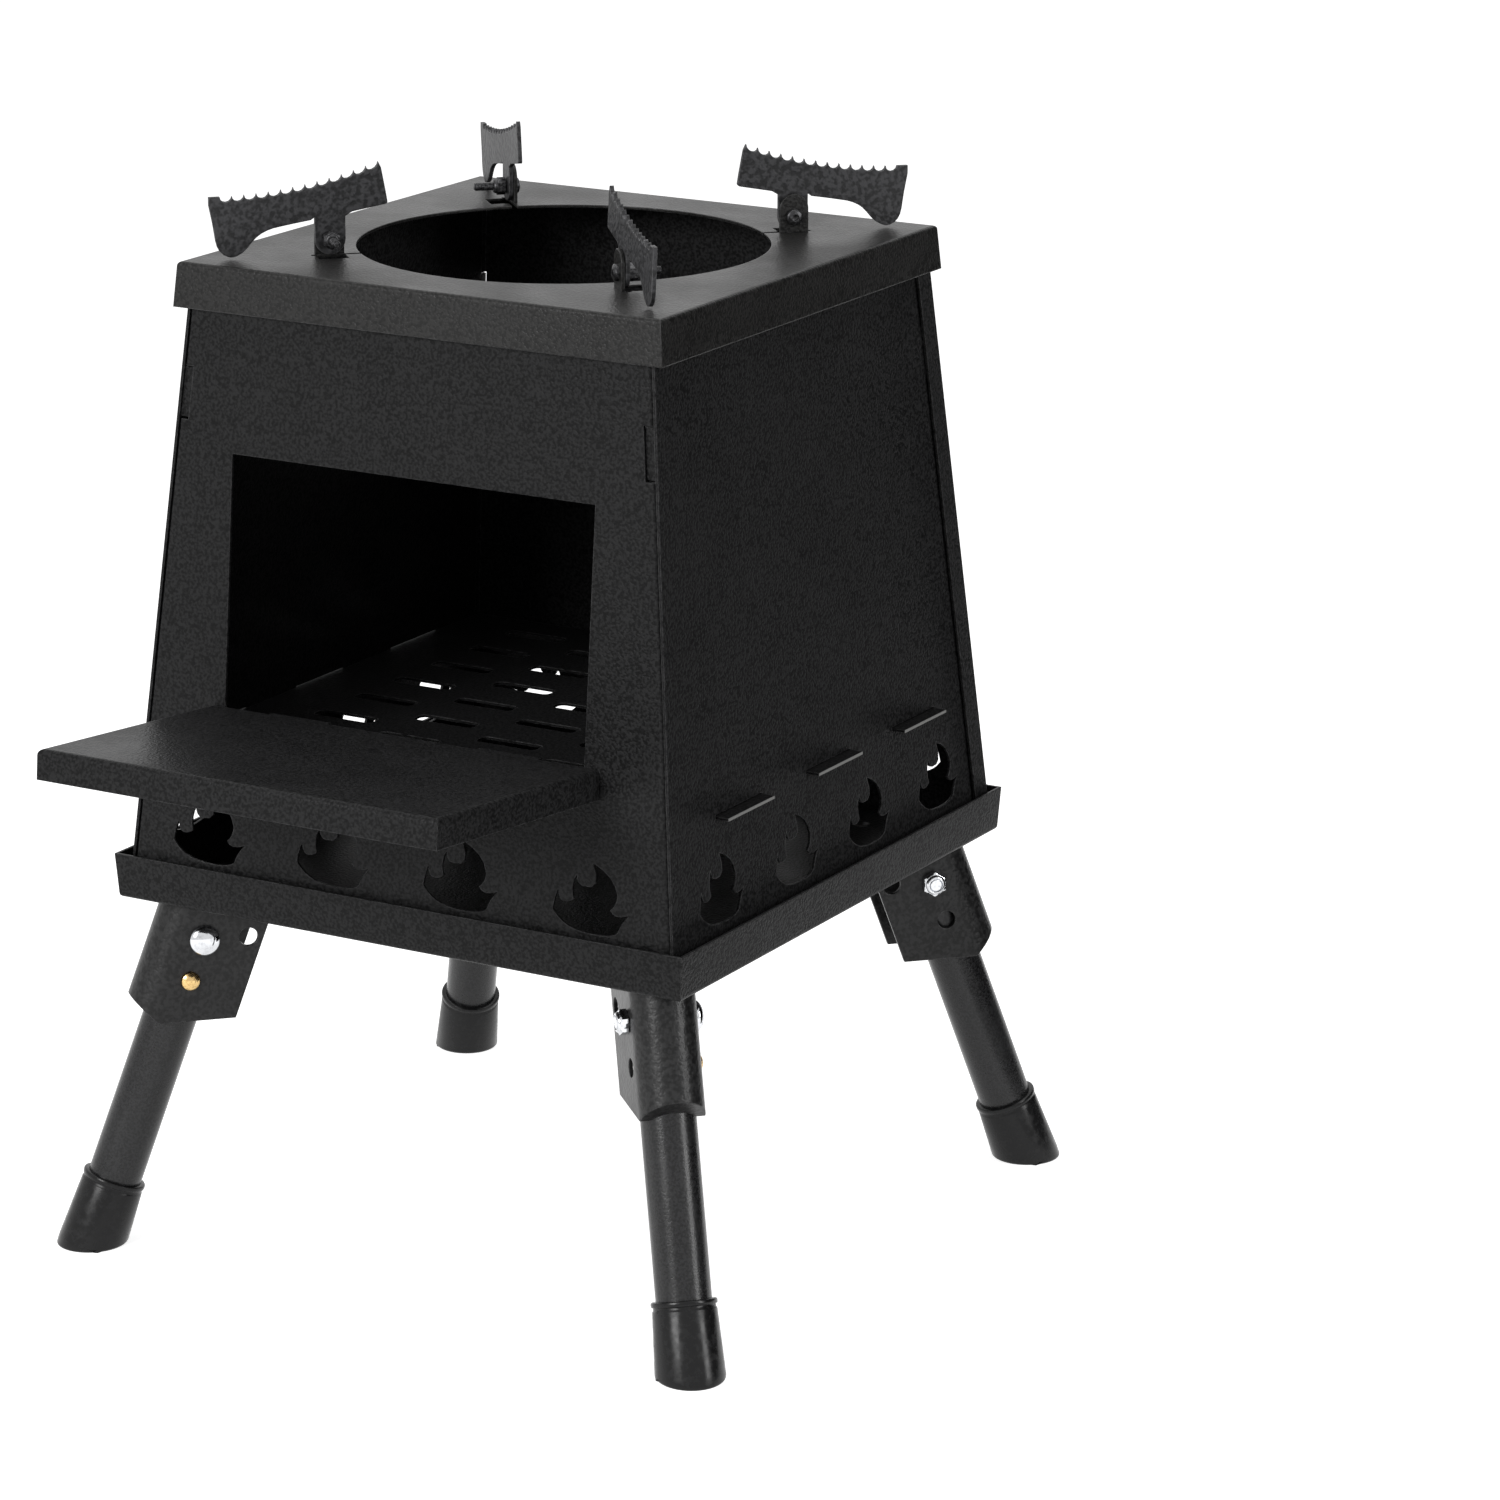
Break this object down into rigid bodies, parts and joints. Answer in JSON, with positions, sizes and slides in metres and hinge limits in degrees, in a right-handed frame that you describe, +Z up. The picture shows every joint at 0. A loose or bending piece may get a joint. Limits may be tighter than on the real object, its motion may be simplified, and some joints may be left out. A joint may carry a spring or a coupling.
{
  "type": "portable wood camping stove",
  "caption": "Square folded-sheet wood stove on folding splayed legs, with a feed shelf, flame-shaped air vents and a lid whose toothed supports hold a pot over a round hole.",
  "frame": {"origin": "on the ground, under the middle of the box around the whole stove; the stove's own upright axis stands 34.65 mm behind it", "axes": "+Z up; the fuel opening and the feed shelf face -Y; +X to the right as seen from the front"},
  "size_m": [0.2704, 0.3396, 0.3819],
  "materials": {
    "coated_steel": "black fine hammered powder coat, semi-gloss",
    "support_steel": "black coated plate, slightly worn edges",
    "leg_coating": "black coated tube, semi-gloss",
    "dark_fasteners": "black oxide",
    "bright_fasteners": "zinc plated",
    "button_brass": "plain brass",
    "foot_rubber": "black moulded rubber, glossy"
  },
  "bodies": {
    "stove": {"base_tray": "coated_steel", "front_panel": "coated_steel", "back_panel": "coated_steel", "left_panel": "coated_steel", "right_panel": "coated_steel", "fire_grate": "coated_steel", "leg_bracket_rear_right": "coated_steel", "leg_bracket_rear_left": "coated_steel", "leg_bracket_front_left": "coated_steel", "leg_bracket_front_right": "coated_steel", "bracket_rivets": "coated_steel", "pivot_screws": "bright_fasteners", "pivot_nuts": "bright_fasteners"},
    "lid": {"lid": "coated_steel", "support_lugs": "coated_steel", "support_screws": "dark_fasteners", "support_nuts": "dark_fasteners"},
    "feed_shelf": {"feed_shelf": "coated_steel"},
    "pot_support_rear_right": {"pot_support_rear_right": "support_steel"},
    "leg_rear_right": {"leg_tube_rear_right": "leg_coating", "rubber_foot_rear_right": "foot_rubber"},
    "lock_rear_right": {"lock_clip_rear_right": "button_brass"},
    "pot_support_rear_left": {"pot_support_rear_left": "support_steel"},
    "leg_rear_left": {"leg_tube_rear_left": "leg_coating", "rubber_foot_rear_left": "foot_rubber"},
    "lock_rear_left": {"lock_clip_rear_left": "button_brass"},
    "pot_support_front_left": {"pot_support_front_left": "support_steel"},
    "leg_front_left": {"leg_tube_front_left": "leg_coating", "rubber_foot_front_left": "foot_rubber"},
    "lock_front_left": {"lock_clip_front_left": "button_brass"},
    "pot_support_front_right": {"pot_support_front_right": "support_steel"},
    "leg_front_right": {"leg_tube_front_right": "leg_coating", "rubber_foot_front_right": "foot_rubber"},
    "lock_front_right": {"lock_clip_front_right": "button_brass"}
  },
  "joints": [
    {"name": "lid_lift", "type": "slide", "parent": "stove", "child": "lid", "axis": [0, 0, 1], "range_m": [0, 0.06]},
    {"name": "shelf_lift", "type": "slide", "parent": "stove", "child": "feed_shelf", "axis": [0, 0.0882, 0.9961], "range_m": [0, 0.06]},
    {"name": "support_swing_rear_right", "type": "hinge", "parent": "lid", "child": "pot_support_rear_right", "pos_m": [0.05798, 0.09263, 0.35602], "axis": [0.7071, -0.7071, 0], "range_deg": [0, 180]},
    {"name": "leg_fold_rear_right", "type": "hinge", "parent": "stove", "child": "leg_rear_right", "pos_m": [0.09385, 0.1285, 0.11242], "axis": [-0.7071, 0.7071, 0], "range_deg": [0, 110], "deforming": ["lock_clip_rear_right"]},
    {"name": "button_press_rear_right", "type": "slide", "parent": "leg_rear_right", "child": "lock_rear_right", "axis": [0.7071, -0.7071, 0], "range_m": [0, 0.004], "stiffness_N_per_m": 800, "springref_m": -0.002},
    {"name": "support_swing_rear_left", "type": "hinge", "parent": "lid", "child": "pot_support_rear_left", "pos_m": [-0.05798, 0.09263, 0.35602], "axis": [0.7071, 0.7071, 0], "range_deg": [0, 180]},
    {"name": "leg_fold_rear_left", "type": "hinge", "parent": "stove", "child": "leg_rear_left", "pos_m": [-0.09385, 0.1285, 0.11242], "axis": [-0.7071, -0.7071, 0], "range_deg": [0, 110], "deforming": ["lock_clip_rear_left"]},
    {"name": "button_press_rear_left", "type": "slide", "parent": "leg_rear_left", "child": "lock_rear_left", "axis": [0.7071, 0.7071, 0], "range_m": [0, 0.004], "stiffness_N_per_m": 800, "springref_m": -0.002},
    {"name": "support_swing_front_left", "type": "hinge", "parent": "lid", "child": "pot_support_front_left", "pos_m": [-0.05798, -0.02333, 0.35602], "axis": [-0.7071, 0.7071, 0], "range_deg": [0, 180]},
    {"name": "leg_fold_front_left", "type": "hinge", "parent": "stove", "child": "leg_front_left", "pos_m": [-0.09385, -0.05921, 0.11242], "axis": [0.7071, -0.7071, 0], "range_deg": [0, 110], "deforming": ["lock_clip_front_left"]},
    {"name": "button_press_front_left", "type": "slide", "parent": "leg_front_left", "child": "lock_front_left", "axis": [-0.7071, 0.7071, 0], "range_m": [0, 0.004], "stiffness_N_per_m": 800, "springref_m": -0.002},
    {"name": "support_swing_front_right", "type": "hinge", "parent": "lid", "child": "pot_support_front_right", "pos_m": [0.05798, -0.02333, 0.35602], "axis": [-0.7071, -0.7071, 0], "range_deg": [0, 180]},
    {"name": "leg_fold_front_right", "type": "hinge", "parent": "stove", "child": "leg_front_right", "pos_m": [0.09385, -0.05921, 0.11242], "axis": [0.7071, 0.7071, 0], "range_deg": [0, 110], "deforming": ["lock_clip_front_right"]},
    {"name": "button_press_front_right", "type": "slide", "parent": "leg_front_right", "child": "lock_front_right", "axis": [-0.7071, -0.7071, 0], "range_m": [0, 0.004], "stiffness_N_per_m": 800, "springref_m": -0.002}
  ]
}
